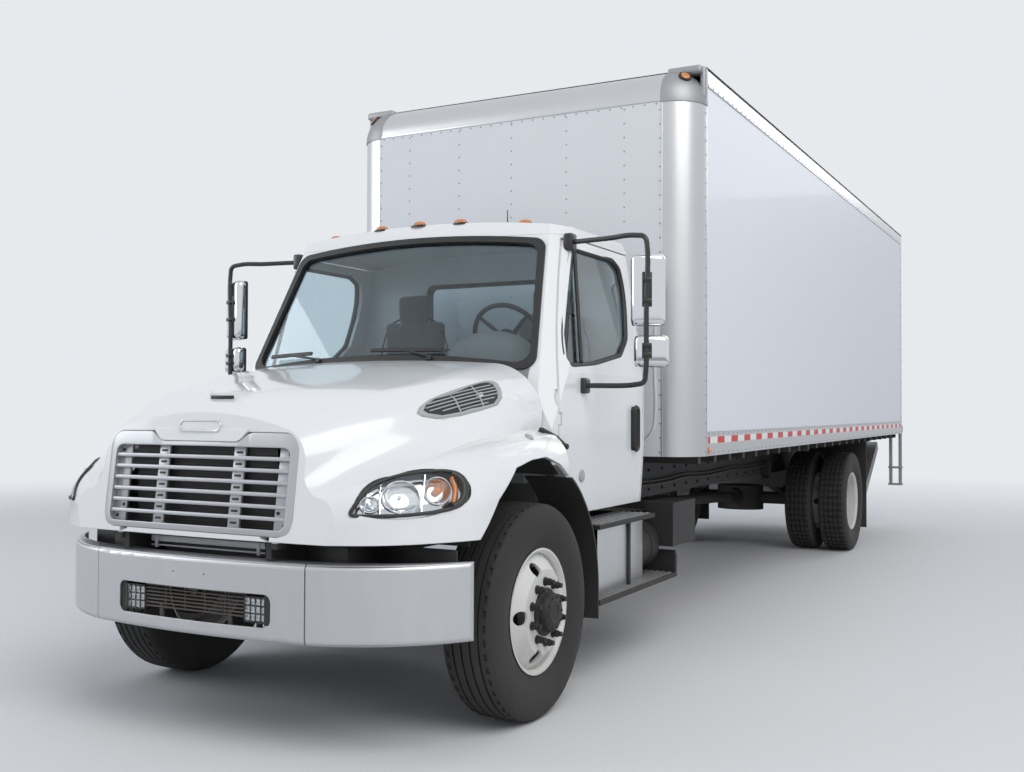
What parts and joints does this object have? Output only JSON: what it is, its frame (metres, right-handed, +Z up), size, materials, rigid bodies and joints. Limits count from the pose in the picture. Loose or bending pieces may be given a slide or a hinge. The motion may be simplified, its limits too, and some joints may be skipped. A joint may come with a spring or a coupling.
{
  "type": "box truck",
  "caption": "White medium-duty box truck with a tilting hood, hinged cab doors, steered front wheels, dual rear wheels, a long van body and a folded tail lift.",
  "frame": {"origin": "on the ground, under the middle of the truck's length and width", "axes": "+Y towards the rear, +X towards the truck's left side, where the driver sits, +Z up"},
  "size_m": [3.0564, 11.055, 3.6599],
  "materials": {
    "cab_paint": "gloss",
    "body_white": "gloss",
    "chassis_black": "satin",
    "bumper_silver": "satin",
    "grille_silver": "satin",
    "alloy": "satin",
    "cast_alloy": "satin",
    "wheel_white": "gloss",
    "tyre": "matte",
    "glass": "polished",
    "rubber": "matte",
    "trim_grey": "matte",
    "lamp_clear": "polished",
    "lamp_amber": "gloss",
    "seat_grey": "matte",
    "steel_dark": "rough",
    "black_plastic": "matte",
    "floor_wood": "satin",
    "mirror_black": "satin",
    "radiator_grey": "matte"
  },
  "bodies": {
    "chassis": {"frame": "chassis_black", "bumper": "bumper_silver", "front_axle": "steel_dark", "springs": "steel_dark", "rear_axle": "steel_dark", "powertrain": "steel_dark", "radiator": "radiator_grey", "body_floor": "floor_wood", "body_sides": "body_white", "body_rails": "alloy", "body_front": "body_white", "body_front_frame": "alloy", "body_roof": "alloy", "body_rear": "alloy", "body_door": "body_white", "cab_pillars": "cab_paint", "cab_roof": "cab_paint", "cab_back": "cab_paint", "cab_floor": "trim_grey", "cab_glass": "glass", "window_seals": "rubber", "bumper_screen": "black_plastic", "lamps": "lamp_amber", "wipers": "black_plastic", "seats": "seat_grey", "dash": "trim_grey", "steering_wheel": "black_plastic", "cab_steps": "chassis_black", "mud_flaps": "rubber", "fuel_tank": "alloy", "air_tanks": "chassis_black", "exhaust": "steel_dark", "rear_steps": "cast_alloy", "gate_frame": "chassis_black"},
    "knuckle_left": {"knuckle_left": "steel_dark"},
    "knuckle_right": {"knuckle_right": "steel_dark"},
    "tie_rod": {"tie_rod": "steel_dark"},
    "front_wheel_left": {"front_wheel_left": "wheel_white", "front_tyre_left": "tyre"},
    "front_wheel_right": {"front_wheel_right": "wheel_white", "front_tyre_right": "tyre"},
    "rear_wheels_left": {"rear_wheels_left": "wheel_white", "rear_tyres_left": "tyre"},
    "rear_wheels_right": {"rear_wheels_right": "wheel_white", "rear_tyres_right": "tyre"},
    "hood": {"hood": "cab_paint", "grille": "grille_silver", "headlamps": "lamp_clear", "hood_vents": "trim_grey"},
    "door_left": {"door_left": "cab_paint", "door_glass_left": "glass", "mirror_left": "mirror_black"},
    "door_right": {"door_right": "cab_paint", "door_glass_right": "glass", "mirror_right": "mirror_black"},
    "gate_arms": {"gate_arms": "chassis_black"},
    "gate_platform": {"gate_platform": "cast_alloy"}
  },
  "joints": [
    {"name": "steer_left", "type": "hinge", "parent": "chassis", "child": "knuckle_left", "pos_m": [0.88, -4.4175, 0.512], "axis": [0, 0, 1], "range_deg": [-35, 35]},
    {"name": "steer_right", "type": "hinge", "parent": "chassis", "child": "knuckle_right", "pos_m": [-0.88, -4.4175, 0.512], "axis": [0, 0, 1], "range_deg": [-35, 35]},
    {"name": "tie_rod_turn", "type": "hinge", "parent": "knuckle_left", "child": "tie_rod", "pos_m": [0.88, -4.2275, 0.4], "axis": [0, 0, 1], "range_deg": [-35, 35]},
    {"name": "front_spin_left", "type": "hinge", "parent": "knuckle_left", "child": "front_wheel_left", "pos_m": [1.04, -4.4175, 0.512], "axis": [1, 0, 0], "continuous": true},
    {"name": "front_spin_right", "type": "hinge", "parent": "knuckle_right", "child": "front_wheel_right", "pos_m": [-1.04, -4.4175, 0.512], "axis": [1, 0, 0], "continuous": true},
    {"name": "rear_spin_left", "type": "hinge", "parent": "chassis", "child": "rear_wheels_left", "pos_m": [0.9085, 2.8025, 0.512], "axis": [1, 0, 0], "continuous": true},
    {"name": "rear_spin_right", "type": "hinge", "parent": "chassis", "child": "rear_wheels_right", "pos_m": [-0.9085, 2.8025, 0.512], "axis": [1, 0, 0], "continuous": true},
    {"name": "hood_tilt", "type": "hinge", "parent": "chassis", "child": "hood", "pos_m": [0, -5.4675, 0.905], "axis": [1, 0, 0], "range_deg": [0, 65]},
    {"name": "door_left_open", "type": "hinge", "parent": "chassis", "child": "door_left", "pos_m": [1.058, -4.0225, 1.3], "axis": [0, 0, -1], "range_deg": [0, 70]},
    {"name": "door_right_open", "type": "hinge", "parent": "chassis", "child": "door_right", "pos_m": [-1.058, -4.0225, 1.3], "axis": [0, 0, 1], "range_deg": [0, 70]},
    {"name": "gate_lower", "type": "hinge", "parent": "chassis", "child": "gate_arms", "pos_m": [0, 4.5925, 0.925], "axis": [-1, 0, 0], "range_deg": [0, 25]},
    {"name": "gate_level", "type": "hinge", "parent": "gate_arms", "child": "gate_platform", "pos_m": [0, 5.2325, 1.005], "axis": [-1, 0, 0], "range_deg": [-25, 0]}
  ],
  "couplings": [
    {"joint": "steer_right", "follows": "steer_left", "ratio": 1},
    {"joint": "tie_rod_turn", "follows": "steer_left", "ratio": -1},
    {"joint": "gate_level", "follows": "gate_lower", "ratio": -1}
  ]
}
